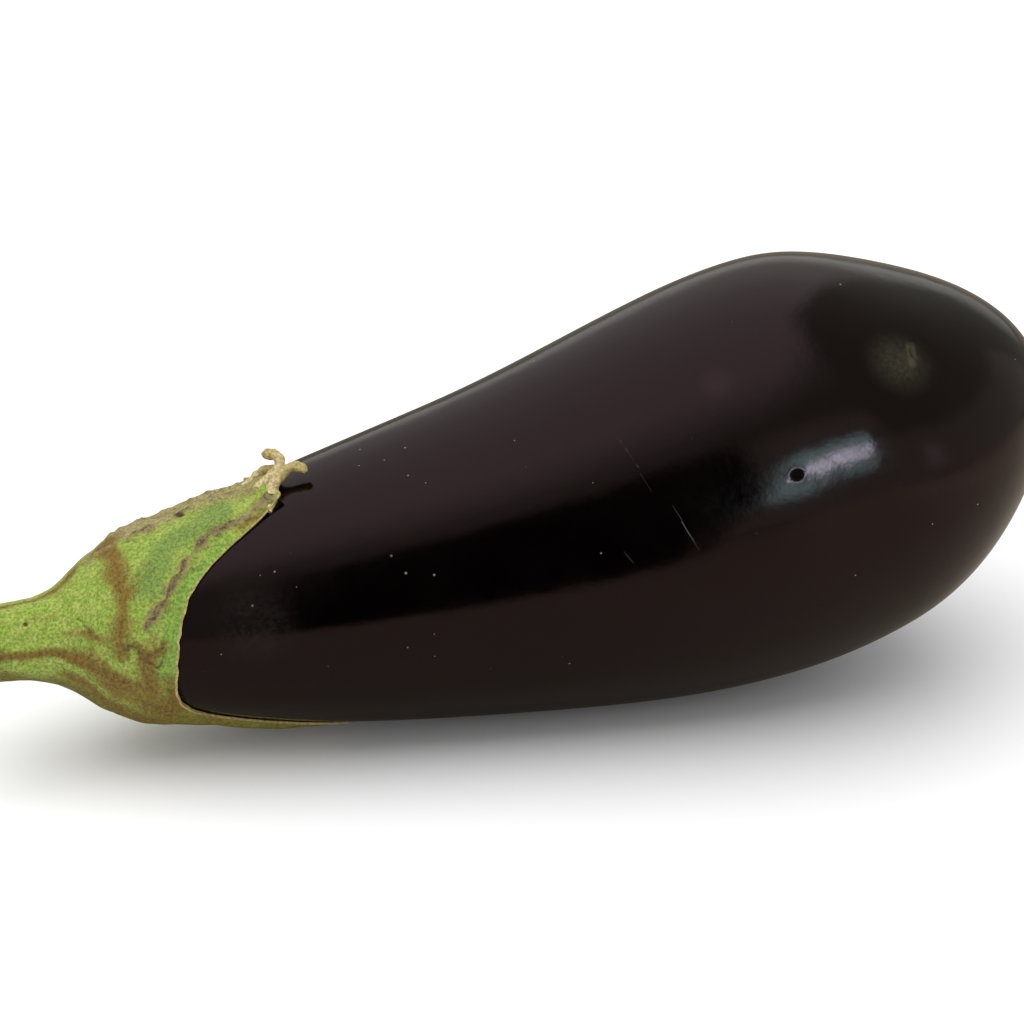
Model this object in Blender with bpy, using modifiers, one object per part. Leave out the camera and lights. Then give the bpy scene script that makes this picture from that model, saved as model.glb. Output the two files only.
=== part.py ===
"""An eggplant lying on its side: the fruit, its green calyx and its cut stem.

The long axis is X, with the stem at -X and the blossom end at +X. The surface it lies on is z = 0.
"""

import math

import bmesh
import bpy
import numpy as np
from mathutils import Vector

MM = 0.001

# Stations are (distance along the fruit from its shoulder, radius there), in millimetres.
FRUIT_STATIONS = [
    (6.3, 18.3),
    (23, 23.3),
    (48, 28.8),
    (76.5, 34),
    (105, 39.4),
    (132, 42.7),
    (157, 39.3),
    (176, 26.4),
]
FRUIT_BASE = -2.2           # where the fruit starts, under the calyx
FRUIT_TIP = 191.6           # the blossom end
END_RADIUS = 42.7           # seen from above, the blossom end is a half circle of this radius
END_BLEND = (120, 30)       # where its width starts to follow that circle, and over what length
BASE_ROUNDING = 6.0         # length over which the base of the fruit rounds off
BASE_BLUNTNESS = 3.5        # 2 is an ellipse, more is a flatter base

NECK_HEIGHT = 28.05         # height of the centre line at the shoulder
LEAN = 9.4                  # even rise of the centre line over the fruit's length
UPTURN = 31.8               # extra rise at the blossom end, which grows with the cube
SIDE_BEND = 4.0             # drift of the blossom end towards -Y

CALYX_FACE = -4.7           # where the calyx meets the stem
CALYX_STATIONS = [(-4.7, 16.9), (-0.5, 19.2), (6, 21.0), (12, 22.4)]
CALYX_THICKNESS = 1.8
CALYX_EDGE_THICKNESS = 1.1
CALYX_SINUS = 4.6           # where the calyx ends between two lobes that stand far apart
# Each lobe is (angle of its tip around the fruit, where it ends, half-width in degrees, sharpness).
# The angle is 0 at the front (-Y) and 90 on top.
LOBES = [(92, 36, 31, 2.8), (145, 33, 20, 2.5), (195, 37, 19, 2.5), (246, 32, 18, 2.5), (298, 41, 14, 2.5)]

STEM_END = -38.0            # the cut end
STEM_STATIONS = [(-38, 7.5), (-27.5, 7.7), (-20, 8.3), (-14.5, 10.1), (-10, 13.2), (-7, 15.6), (-5, 16.8)]
STEM_RISE = 2.0             # how far the cut end stands above the shoulder's centre
CUT_BEVEL = 0.5

GAP = 0.3                   # between pieces that touch
FRUIT_SEGMENTS = 60
CALYX_SEGMENTS = 72
STEM_SEGMENTS = 32

SKIN_PURPLE = (0.012, 0.007, 0.009, 1.0)
CALYX_GREEN = (0.275, 0.470, 0.075, 1.0)
STEM_GREEN = (0.330, 0.440, 0.100, 1.0)


def clear_scene():
    for item in list(bpy.data.objects):
        bpy.data.objects.remove(item)


def make_material(name, colour, roughness):
    material = bpy.data.materials.new(name)
    material.use_nodes = True
    shader = material.node_tree.nodes["Principled BSDF"]
    shader.inputs["Base Color"].default_value = colour
    shader.inputs["Roughness"].default_value = roughness
    shader.inputs["Metallic"].default_value = 0.0
    return material


def natural_spline(points):
    """A function that reads the natural cubic spline through the points."""
    xs = np.array([p[0] for p in points], dtype=float)
    ys = np.array([p[1] for p in points], dtype=float)
    steps = np.diff(xs)
    slopes = np.diff(ys) / steps
    count = len(xs)
    matrix = np.eye(count)
    target = np.zeros(count)
    for i in range(1, count - 1):
        matrix[i, i - 1:i + 2] = steps[i - 1], 2 * (steps[i - 1] + steps[i]), steps[i]
        target[i] = 6 * (slopes[i] - slopes[i - 1])
    bends = np.linalg.solve(matrix, target)

    def read(x):
        i = int(np.clip(np.searchsorted(xs, x) - 1, 0, count - 2))
        h = steps[i]
        left = x - xs[i]
        right = xs[i + 1] - x
        curve = (bends[i] * right ** 3 + bends[i + 1] * left ** 3) / (6 * h)
        line_left = (ys[i] / h - bends[i] * h / 6) * right
        line_right = (ys[i + 1] / h - bends[i + 1] * h / 6) * left
        return curve + line_left + line_right

    return read


# The square of the radius falls evenly to nothing at a round end, so the spline runs through squares.
fruit_squares = natural_spline(
    [(FRUIT_BASE, 15 ** 2)] + [(x, r * r) for x, r in FRUIT_STATIONS] + [(FRUIT_TIP, 0)]
)
calyx_cap = natural_spline(CALYX_STATIONS)
stem_flare = natural_spline(STEM_STATIONS)


def fruit_radius(x):
    radius = math.sqrt(max(fruit_squares(x), 0))
    into_base = (FRUIT_BASE + BASE_ROUNDING - x) / BASE_ROUNDING
    if into_base > 0:
        radius *= max(1 - min(into_base, 1) ** BASE_BLUNTNESS, 0) ** (1 / BASE_BLUNTNESS)
    return radius


def fruit_half_width(x):
    """Half the fruit's width across. It is more than half its height at the blossom end."""
    start, length = END_BLEND
    share = min(max((x - start) / length, 0), 1)
    share *= share * (3 - 2 * share)
    past_centre = max(x - (FRUIT_TIP - END_RADIUS), 0)
    round_end = math.sqrt(max(END_RADIUS ** 2 - past_centre ** 2, 0))
    return fruit_radius(x) + (round_end - fruit_radius(x)) * share


def off_skin(x, distance):
    """The point (along, radius) at a distance outside the fruit's skin."""
    step = 0.01
    rise = (fruit_radius(x + step) - fruit_radius(x - step)) / (2 * step)
    length = math.hypot(1, rise)
    return x - distance * rise / length, fruit_radius(x) + distance / length


def centre_line(x):
    """The centre of the fruit at a distance along it. It carries on straight into the stem."""
    u = max(x, 0) / FRUIT_TIP
    rise = LEAN * u + UPTURN * u ** 3
    if x < CALYX_FACE:
        rise = STEM_RISE * ((x - CALYX_FACE) / (STEM_END - CALYX_FACE)) ** 2
    return Vector((x, -SIDE_BEND * u * u, NECK_HEIGHT + rise))


def cross_section_up(x):
    """The direction that is up in the cross-section, square to the centre line."""
    if x < CALYX_FACE:
        return Vector((0, 0, 1))
    u = max(x, 0) / FRUIT_TIP
    slope = (LEAN + 3 * UPTURN * u * u) / FRUIT_TIP * min(max(x - CALYX_FACE, 0) / 10, 1)
    return Vector((-slope, 0, 1)).normalized()


def turn(name, profile, segments):
    """A solid turned about Z from a profile of (along, radius), with the stem end on top."""
    mesh = bpy.data.meshes.new(name)
    points = [(radius, 0, -along) for along, radius in profile]
    edges = [(i, i + 1) for i in range(len(points) - 1)]
    mesh.from_pydata(points, edges, [])
    blank = bpy.data.objects.new(name, mesh)
    bpy.context.scene.collection.objects.link(blank)
    screw = blank.modifiers.new("turn", "SCREW")
    screw.steps = segments
    screw.render_steps = segments
    screw.use_merge_vertices = True
    screw.merge_threshold = 0.0001
    turned = bpy.data.meshes.new_from_object(blank.evaluated_get(bpy.context.evaluated_depsgraph_get()))
    bpy.data.objects.remove(blank)
    turned.name = name
    return turned


def lay_along_centre_line(mesh):
    """Lays a shape turned about Z down along the centre line, front side to -Y."""
    for vertex in mesh.vertices:
        across, upward, along = vertex.co.x, vertex.co.y, -vertex.co.z
        up = cross_section_up(along)
        place = centre_line(along) + up * upward + Vector((0, -across, 0))
        vertex.co = place * MM


def finish_piece(name, mesh, material, collection):
    mesh.materials.clear()
    mesh.materials.append(material)
    mesh.shade_smooth()
    mesh.set_sharp_from_angle(angle=math.radians(40))
    piece = bpy.data.objects.new(name, mesh)
    collection.objects.link(piece)
    return piece


def flatten_belly(mesh):
    """Cuts the small flat spot that the fruit lies on."""
    shape = bmesh.new()
    shape.from_mesh(mesh)
    everything = shape.verts[:] + shape.edges[:] + shape.faces[:]
    cut = bmesh.ops.bisect_plane(
        shape,
        geom=everything,
        plane_co=(0, 0, 0),
        plane_no=(0, 0, -1),
        clear_outer=True,
    )
    rim = [item for item in cut["geom_cut"] if isinstance(item, bmesh.types.BMEdge)]
    bmesh.ops.edgeloop_fill(shape, edges=rim)
    bmesh.ops.recalc_face_normals(shape, faces=shape.faces[:])
    shape.to_mesh(mesh)
    shape.free()


def make_fruit(collection):
    rows = 38
    profile = []
    for i in range(rows + 1):
        # Rows crowd towards both ends, where the skin turns in.
        share = 0.5 - 0.5 * math.cos(math.pi * i / rows)
        along = FRUIT_BASE + (FRUIT_TIP - FRUIT_BASE) * share
        profile.append((along, fruit_radius(along)))
    mesh = turn("fruit", profile, FRUIT_SEGMENTS)
    for vertex in mesh.vertices:
        radius = fruit_radius(-vertex.co.z)
        if radius > 0:
            vertex.co.x *= fruit_half_width(-vertex.co.z) / radius
    lay_along_centre_line(mesh)
    flatten_belly(mesh)
    return finish_piece("fruit", mesh, make_material("eggplant_skin", SKIN_PURPLE, 0.16), collection)


def calyx_end(angle):
    """How far along the fruit the calyx reaches at an angle around it."""
    reach = CALYX_SINUS
    for tip, end, half_width, sharpness in LOBES:
        away = abs((angle - tip + 180) % 360 - 180) / half_width
        reach = max(reach, CALYX_SINUS + (end - CALYX_SINUS) / (1 + away ** sharpness))
    return reach


def calyx_outside(x, share):
    """Radius of the calyx's outer face. share is 0 at the stem and 1 at the free edge."""
    last = CALYX_STATIONS[-1][0]
    thickness = CALYX_THICKNESS + (CALYX_EDGE_THICKNESS - CALYX_THICKNESS) * share ** 3
    lying = fruit_radius(x) + GAP + thickness
    if x > last:
        return lying
    thinning = (CALYX_THICKNESS - thickness) if x > 0 else 0
    return calyx_cap(x) - thinning


def make_calyx(collection):
    rows = 11
    outer_rows = [i / rows for i in range(rows + 1)]
    inner_rows = [(i / rows) ** 2 for i in range(rows, -1, -1)]
    # The rows are turned one unit apart, and each gets its true place once its angle is known.
    last_row = len(outer_rows) + len(inner_rows)
    profile = [(row, 0 if row in (0, last_row) else 1) for row in range(last_row + 1)]
    mesh = turn("calyx", profile, CALYX_SEGMENTS)
    for vertex in mesh.vertices:
        row = round(-vertex.co.z)
        angle = math.atan2(vertex.co.y, vertex.co.x)
        end = calyx_end(math.degrees(angle))
        if row == 0:
            along, radius = CALYX_FACE, 0
        elif row <= len(outer_rows):
            share = outer_rows[row - 1]
            along = CALYX_FACE + (end - CALYX_FACE) * share
            radius = calyx_outside(along, share)
        else:
            share = inner_rows[row - 1 - len(outer_rows)]
            along, radius = off_skin(FRUIT_BASE + (end - FRUIT_BASE) * share, GAP)
            if row == last_row:
                along, radius = FRUIT_BASE - GAP, 0
        vertex.co = (radius * math.cos(angle), radius * math.sin(angle), -along)
    lay_along_centre_line(mesh)
    return finish_piece("calyx", mesh, make_material("calyx_green", CALYX_GREEN, 0.6), collection)


def make_stem(collection):
    rows = 16
    start = STEM_END + CUT_BEVEL
    face = CALYX_FACE - GAP
    profile = [(STEM_END, 0), (STEM_END, stem_flare(STEM_END) - CUT_BEVEL)]
    for i in range(rows + 1):
        along = start + (face - start) * i / rows
        profile.append((along, stem_flare(along)))
    profile.append((face, 0))
    mesh = turn("stem", profile, STEM_SEGMENTS)
    lay_along_centre_line(mesh)
    return finish_piece("stem", mesh, make_material("stem_green", STEM_GREEN, 0.65), collection)


def stand_on_origin(pieces):
    """Slides the whole eggplant so that the middle of its footprint is at the origin."""
    corners = [v.co for piece in pieces for v in piece.data.vertices]
    middle_x = (min(c.x for c in corners) + max(c.x for c in corners)) / 2
    middle_y = (min(c.y for c in corners) + max(c.y for c in corners)) / 2
    for piece in pieces:
        for vertex in piece.data.vertices:
            vertex.co -= Vector((middle_x, middle_y, 0))


def main():
    clear_scene()
    collection = bpy.data.collections.new("eggplant")
    bpy.context.scene.collection.children.link(collection)
    pieces = [make_fruit(collection), make_calyx(collection), make_stem(collection)]
    stand_on_origin(pieces)


main()
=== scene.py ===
import math

import bpy
import numpy as np
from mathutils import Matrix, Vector, noise


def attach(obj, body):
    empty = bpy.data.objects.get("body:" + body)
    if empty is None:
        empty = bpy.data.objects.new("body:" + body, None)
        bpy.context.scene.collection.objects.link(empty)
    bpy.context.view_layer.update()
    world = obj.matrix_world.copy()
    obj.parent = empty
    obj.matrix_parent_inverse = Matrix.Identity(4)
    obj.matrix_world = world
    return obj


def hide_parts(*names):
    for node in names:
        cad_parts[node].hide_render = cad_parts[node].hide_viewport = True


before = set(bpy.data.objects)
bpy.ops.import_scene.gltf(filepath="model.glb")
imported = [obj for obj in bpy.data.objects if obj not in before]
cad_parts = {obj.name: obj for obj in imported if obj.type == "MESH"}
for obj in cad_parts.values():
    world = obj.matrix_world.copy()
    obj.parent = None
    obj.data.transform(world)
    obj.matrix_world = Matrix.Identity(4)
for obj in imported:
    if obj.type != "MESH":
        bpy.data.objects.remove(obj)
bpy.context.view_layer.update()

mm = 0.001
print("frame: the CAD nodes are loaded")


def toLinear(hexColour):
    parts = [int(hexColour[i:i + 2], 16) / 255 for i in (1, 3, 5)]
    return [p / 12.92 if p <= 0.04045 else ((p + 0.055) / 1.055) ** 2.4 for p in parts] + [1.0]


mainSettings = {
    "Math": "operation", "VectorMath": "operation",
    "MapRange": "interpolation_type", "Attribute": "attribute_name",
}


def addNode(tree, kind, settings=None, inputs=None):  # a node, its main setting or several, and its inputs
    node = tree.nodes.new("ShaderNode" + kind)
    if isinstance(settings, str):
        settings = {mainSettings[kind]: settings}
    for name, value in (settings or {}).items():
        setattr(node, name, value)
    for name, value in (inputs or {}).items():
        if isinstance(value, bpy.types.Node):
            value = value.outputs[0]
        if isinstance(value, bpy.types.NodeSocket):
            tree.links.new(value, node.inputs[name])
        else:
            node.inputs[name].default_value = value
    return node


def newMaterial(name, constants):
    material = bpy.data.materials.new(name)
    material.use_nodes = True
    shader = material.node_tree.nodes["Principled BSDF"]
    for socket, value in constants.items():
        shader.inputs[socket].default_value = value
    return material, material.node_tree, shader


def overlay(tree, colour, tint, *shares):  # a tint laid over a colour, as strongly as its shares multiplied
    total = shares[0]
    for share in shares[1:]:
        total = addNode(tree, "Math", "MULTIPLY", {0: total, 1: share})
    return addNode(tree, "MixRGB", None, {"Fac": total, "Color1": colour, "Color2": toLinear(tint)})


def smoothStep(start, end, x):
    share = np.clip((np.asarray(x, float) - start) / (end - start), 0, 1)
    return share * share * (3 - 2 * share)


def naturalSpline(points):  # reads the natural cubic spline through the points
    xs, ys = np.array(points, float).T
    steps = np.diff(xs)
    slopes = np.diff(ys) / steps
    count = len(xs)
    matrix = np.eye(count)
    target = np.zeros(count)
    for i in range(1, count - 1):
        matrix[i, i - 1:i + 2] = steps[i - 1], 2 * (steps[i - 1] + steps[i]), steps[i]
        target[i] = 6 * (slopes[i] - slopes[i - 1])
    bends = np.linalg.solve(matrix, target)

    def read(x):
        x = np.asarray(x, float)
        i = np.clip(np.searchsorted(xs, x) - 1, 0, count - 2)
        h, left, right = steps[i], x - xs[i], xs[i + 1] - x
        curve = (bends[i] * right ** 3 + bends[i + 1] * left ** 3) / (6 * h)
        fromLeft = (ys[i] / h - bends[i] * h / 6) * right
        fromRight = (ys[i + 1] / h - bends[i + 1] * h / 6) * left
        return curve + fromLeft + fromRight

    return read


def ripple(points, size, shift):  # smooth unevenness from -1 to 1, with bumps about as wide as size
    return np.array([noise.noise(Vector(p) / size + Vector((shift, shift * 1.7, 0))) for p in points])


def startEdit(piece):
    bpy.context.view_layer.objects.active = piece
    bpy.ops.object.mode_set(mode="EDIT")


def stopEdit():
    bpy.ops.object.mode_set(mode="OBJECT")


def readPoints(piece):
    flat = np.zeros(len(piece.data.vertices) * 3)
    piece.data.vertices.foreach_get("co", flat)
    return flat.reshape(-1, 3)


def writePoints(piece, points):
    piece.data.vertices.foreach_set("co", np.asarray(points, float).ravel())
    piece.data.update()


def readNormals(piece):
    flat = np.zeros(len(piece.data.vertices) * 3)
    piece.data.vertices.foreach_get("normal", flat)
    return flat.reshape(-1, 3)


def smoothFaces(piece):
    piece.data.polygons.foreach_set("use_smooth", [True] * len(piece.data.polygons))


def paint(piece, name, red, green, blue):  # three shares stored on the points, for a material to read
    layer = piece.data.attributes.new(name, "FLOAT_COLOR", "POINT")
    colours = np.stack([red, green, blue, np.ones(len(red))], axis=1)
    layer.data.foreach_set("color", np.clip(colours, 0, 1).ravel())


# The shape that all three pieces share. Lengths are in mm along it from the shoulder, where the stem's side
# is below 0, and angles are degrees around it: 0 is the front and 90 the top.
form = {
    "stations": [  # along, radius
        (6.3, 18.3), (23, 23.3), (48, 28.8), (76.5, 34), (105, 39.4), (132, 42.7), (157, 39.3), (176, 26.4),
    ],
    "base": -2.2,
    "baseRadius": 15,
    "baseRounding": 6.0,
    "baseBluntness": 3.5,
    "tip": 191.6,
    "endRadius": 42.7,  # seen from above the blossom end is a half circle
    "endBlend": (120, 150),
    "neckHeight": 28.05,
    "lean": 9.4,
    "upturn": 31.8,
    "sideBend": 4.0,
    "neckEasing": 10,  # the axis starts to lean over this length
    "calyxFace": -4.7,  # the stem's end of the calyx
    "calyxCap": [(-4.7, 16.9), (-0.5, 19.2), (6, 21.0), (12, 22.4)],  # along, radius
    "calyxThickness": 1.8,
    "edgeThickness": 1.1,
    "gap": 0.3,
    "sinus": 4.6,  # the calyx reaches this far between two lobes
    "lobes": [  # angle, end, half width in degrees, sharpness
        (92, 36, 31, 2.8), (145, 33, 20, 2.5), (195, 37, 19, 2.5), (246, 32, 18, 2.5), (293, 41, 11.5, 2.5),
    ],
    "stemEnd": -38.0,
    "stemRise": 2.0,
    "stemBlend": -8.5,  # from here on the stem swells into the calyx
    "stemFlare": [(-38, 7.5), (-27.5, 7.7), (-20, 8.3), (-14.5, 10.1), (-10, 13.2), (-7, 15.6), (-5, 16.8)],
    "place": Vector((-77.97, 2.14, 0)),  # from the shoulder to the row's origin
}

fruitSquares = naturalSpline(
    [(form["base"], form["baseRadius"] ** 2)] + [(x, r * r) for x, r in form["stations"]] + [(form["tip"], 0)]
)
calyxCap = naturalSpline(form["calyxCap"])
stemFlare = naturalSpline(form["stemFlare"])


def fruitRadius(x):
    radius = np.sqrt(np.maximum(fruitSquares(x), 0))
    into = np.clip((form["base"] + form["baseRounding"] - x) / form["baseRounding"], 0, 1)
    return radius * (1 - into ** form["baseBluntness"]) ** (1 / form["baseBluntness"])


def fruitHalfWidth(x):
    past = np.maximum(x - (form["tip"] - form["endRadius"]), 0)
    roundEnd = np.sqrt(np.maximum(form["endRadius"] ** 2 - past ** 2, 0))
    radius = fruitRadius(x)
    return radius + (roundEnd - radius) * smoothStep(*form["endBlend"], x)


def offSkin(x, distance):  # the place along and the radius at a distance outside the skin
    step = 0.01
    rise = (fruitRadius(x + step) - fruitRadius(x - step)) / (2 * step)
    length = np.hypot(1, rise)
    return x - distance * rise / length, fruitRadius(x) + distance / length


def layDown(along, radius, halfWidth, angle):  # from the form's own measures to points in the row frame
    along = np.asarray(along, float)
    turn = np.radians(angle)
    u = np.maximum(along, 0) / form["tip"]
    rise = form["lean"] * u + form["upturn"] * u ** 3
    intoStem = (along - form["calyxFace"]) / (form["stemEnd"] - form["calyxFace"])
    rise = np.where(along < form["calyxFace"], form["stemRise"] * intoStem ** 2, rise)
    slope = (form["lean"] + 3 * form["upturn"] * u * u) / form["tip"]
    slope = slope * np.clip((along - form["calyxFace"]) / form["neckEasing"], 0, 1)
    length = np.hypot(1, slope)
    upward = radius * np.sin(turn)
    x = along - upward * slope / length + form["place"].x
    y = -form["sideBend"] * u * u - halfWidth * np.cos(turn) + form["place"].y
    z = form["neckHeight"] + rise + upward / length
    return np.stack([x, y, z], axis=-1) * mm


def onFruit(along, angle, height=0.0):  # one point at a height over the skin
    x, radius = offSkin(np.array([float(along)]), height)
    width = fruitHalfWidth(x) + radius - fruitRadius(x)
    return Vector(layDown(x, radius, width, np.array([float(angle)]))[0])


def angleFrom(middle, angle):  # how many degrees an angle is away from another, either way round
    return np.abs((angle - middle + 180) % 360 - 180)


def calyxEnd(angle):  # how far the calyx reaches
    reach = np.full(np.shape(angle), form["sinus"])
    for tip, end, halfWidth, sharpness in form["lobes"]:
        away = angleFrom(tip, angle) / halfWidth
        reach = np.maximum(reach, form["sinus"] + (end - form["sinus"]) / (1 + away ** sharpness))
    return reach


def calyxOutside(x, share):  # radius of the calyx's outer face, share 0 at the stem and 1 at the free edge
    thickness = form["calyxThickness"] + (form["edgeThickness"] - form["calyxThickness"]) * share ** 3
    lying = fruitRadius(x) + form["gap"] + thickness
    thinning = np.where(x > 0, form["calyxThickness"] - thickness, 0)
    return np.where(x > form["calyxCap"][-1][0], lying, calyxCap(x) - thinning)


def stemOutside(x):
    swelling = smoothStep(form["stemBlend"], form["calyxFace"] - 0.1, x)
    return stemFlare(x) + (calyxCap(x) - stemFlare(x)) * swelling


# What a user would change on the fruit. Places are (mm along, degrees around), and lengths are in mm.
fruitLook = {
    "divisions": 92,  # faces along each side of the cube that it is rounded from
    "waviness": 0.14,
    "waveSize": 30,
    "restSoftness": 0.12,  # how softly the flat spot that it lies on sets in
    "scar": {  # the round mark that the blossom left: a shallow bowl with fine rings in it
        "along": 164.7, "angle": 47, "reach": 9.5, "cuts": 2, "depth": 0.55, "bowl": 0.8,
        "ringHeight": 0.05, "ringSpacing": 1.6, "ringArea": 0.55, "wobble": 0.7, "wobbleSize": 3,
        "greyOffset": -1.5, "greyInner": 0.5, "greyOuter": 9.0, "roughness": 0.45,
    },
    "slit": {  # in the scar, and its place is from the scar's middle
        "offset": (2.2, 3), "depth": 0.7, "halfSizes": (0.6, 1.9, 1.7),
        "line": ((167.2, 52), (165.5, 46)), "paleWidth": 1.6, "paleShare": 0.7, "darkWidth": 0.75,
    },
    "pit": {
        "along": 133, "angle": 26, "reach": 1.25, "cuts": 4, "depth": 0.6, "floor": 0.45,
        "rimHeight": 0.03, "rimAt": 1.25, "rimWidth": 0.5,
        "dullInner": 0.85, "dullOuter": 1.1, "roughness": 1.0,
    },
    "dent": {
        "along": 125.5, "angle": 58.5, "reach": 2.8, "depth": 0.3,
        "plumInner": 0.5, "plumOuter": 4.5, "plumShare": 0.3,
    },
    "scuff": {  # wax rubbed dull beside the calyx
        "along": 22, "angle": 20, "inner": 2, "outer": 11, "share": 0.6, "roughness": 0.14,
    },
    "cutMargin": 1.5,  # the finer faces reach this far past the scar and the pit
    "scratches": [  # from, to, width, strength
        ((101.6, 54), (103.3, 43), 0.26, 0.6),
        ((103.2, 41), (104.2, 35), 0.16, 0.35),
        ((108.2, 24), (109.9, 15), 0.28, 0.6),
        ((107.4, 29), (108.4, 24), 0.14, 0.35),
        ((95.6, 20), (96.7, 16), 0.2, 0.4),
        ((7.2, -4.5), (13.2, -5.5), 0.16, 0.5),
        ((86, 30), (87, 28), 0.12, 0.3),
    ],
    "scratchShare": 0.35,
    "scratchRoughness": 0.5,
    "scratchDepth": 0.08,
    "scratchCut": 0.6,
    "specks": [  # dust that stands out: along, angle, size
        (51.9, 92.6, 0.22), (60.3, 82.1, 0.22), (55.3, 79.6, 0.16), (50.1, 81.8, 0.16), (58.5, 67.7, 0.18),
        (61.3, 62.0, 0.15), (21.9, 28.8, 0.25), (27.5, 42.5, 0.22), (24.6, 42.5, 0.15), (52.5, 29.6, 0.28),
        (57.9, 26.7, 0.25), (91.0, 21.3, 0.2), (161.6, 80.3, 0.25), (93.5, 42.9, 0.14),
    ],
    "speckInner": 0.5,
    "speckOuter": 1.3,
    "speckShare": 0.3,
    "dustGrid": [(8.5, 0.036, 0.45), (5.2, 0.034, 0.6)],  # spacing, dot's share of it, share left out
    "dotCore": 0.4,
    "dotShare": 0.7,
    "shader": {"Metallic": 0.0, "IOR": 1.45, "Specular IOR Level": 0.5},
    "glossTint": "#ffdbe2",
    "textures": {  # size, detail, roughness
        "broad": (30, 3, 0.5), "patch": (14, 5, 0.6), "grain": (1.1, 4, 0.65), "gaps": (1.8, 2, 0.5),
        "mottle": (1.3, 3, 0.7), "peel": (2.4, 2, 0.5), "fine": (0.7, 2, 0.5), "swell": (7, 1, 0.5),
    },
    "readings": {  # texture, its values from and to, and what they become
        "plum": ("broad", 0.45, 0.65, 0, 1), "olive": ("patch", 0.5, 0.7, 0, 1),
        "gloss": ("patch", 0.3, 0.7, 0.10, 0.17), "bloom": ("mottle", 0.3, 0.7, -0.03, 0.03),
        "strong": ("grain", 0.35, 0.65, 0.15, 1), "soft": ("grain", 0.3, 0.7, 0.4, 1),
        "broken": ("gaps", 0.42, 0.58, 0, 1),
    },
    "bumps": [("swell", 0.07), ("peel", 0.022), ("fine", 0.006)],  # texture, height
    "skin": "#020101", "skinOlive": "#030201", "skinPlum": "#030102", "scarGrey": "#2e2e22",
    "scratchTone": "#6a5c50", "dust": "#c8bcb0", "scuffGrey": "#1e1b18", "dentPlum": "#2a1a1e",
    "slitDark": "#0a0905", "slitPale": "#4c4a30",
}


def readDirections(fruit):  # the fruit's points while it is still a ball of radius 1
    directions = readPoints(fruit)
    return directions / np.linalg.norm(directions, axis=1)[:, None]


def placeFruit(directions):
    along = form["base"] + (form["tip"] - form["base"]) * (directions[:, 0] + 1) / 2
    angle = np.degrees(np.arctan2(directions[:, 2], -directions[:, 1]))
    return layDown(along, fruitRadius(along), fruitHalfWidth(along), angle)


def gapTo(points, spot):
    return np.linalg.norm(points - np.array(onFruit(spot["along"], spot["angle"])), axis=1) / mm


def fruitRelief(points):  # height in mm over the plain form
    look = fruitLook
    pit, dent, scar, slit = look["pit"], look["dent"], look["scar"], look["slit"]
    height = look["waviness"] * ripple(points, look["waveSize"] * mm, shift=3.1)
    away = gapTo(points, pit)
    height -= pit["depth"] * (1 - smoothStep(pit["reach"] * pit["floor"], pit["reach"], away))
    height += pit["rimHeight"] * np.exp(-((away - pit["reach"] * pit["rimAt"]) / pit["rimWidth"]) ** 2)
    height -= dent["depth"] * np.exp(-(gapTo(points, dent) / dent["reach"]) ** 2)
    away = gapTo(points, scar)
    height -= scar["depth"] * np.exp(-(away / (scar["bowl"] * scar["reach"])) ** 2)
    wobbly = away + scar["wobble"] * ripple(points, scar["wobbleSize"] * mm, shift=7.1)
    rings = scar["ringHeight"] * np.cos(wobbly * 2 * math.pi / scar["ringSpacing"])
    height += rings * np.exp(-(away / (scar["ringArea"] * scar["reach"])) ** 2)
    middle = onFruit(scar["along"] + slit["offset"][0], scar["angle"] + slit["offset"][1])
    offset = (points - np.array(middle)) / mm / np.array(slit["halfSizes"])
    height -= slit["depth"] * np.exp(-(offset ** 2).sum(axis=1))
    return height


def makeFruit():
    look = fruitLook
    bpy.ops.object.select_all(action="DESELECT")
    bpy.ops.mesh.primitive_cube_add(size=2)
    fruit = bpy.context.object
    fruit.name = "fruitSkin"
    startEdit(fruit)
    bpy.ops.mesh.select_all(action="SELECT")
    bpy.ops.mesh.subdivide(number_cuts=look["divisions"] - 1)
    bpy.ops.transform.tosphere(value=1)
    bpy.ops.mesh.select_mode(type="FACE")
    for spot in (look["scar"], look["pit"]):  # finer faces where the skin has small marks
        bpy.ops.mesh.select_all(action="DESELECT")
        stopEdit()
        near = gapTo(placeFruit(readDirections(fruit)), spot) < spot["reach"] + look["cutMargin"]
        for face in fruit.data.polygons:
            face.select = all(near[i] for i in face.vertices)
        startEdit(fruit)
        bpy.ops.mesh.subdivide(number_cuts=spot["cuts"])
    stopEdit()
    writePoints(fruit, placeFruit(readDirections(fruit)))
    points = readPoints(fruit)
    points += readNormals(fruit) * fruitRelief(points)[:, None] * mm
    softness = look["restSoftness"] * mm
    points[:, 2] = 0.5 * (points[:, 2] + np.sqrt(points[:, 2] ** 2 + softness ** 2))
    writePoints(fruit, points)
    smoothFaces(fruit)
    print("fruit:", len(fruit.data.vertices), "points")
    return fruit


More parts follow.
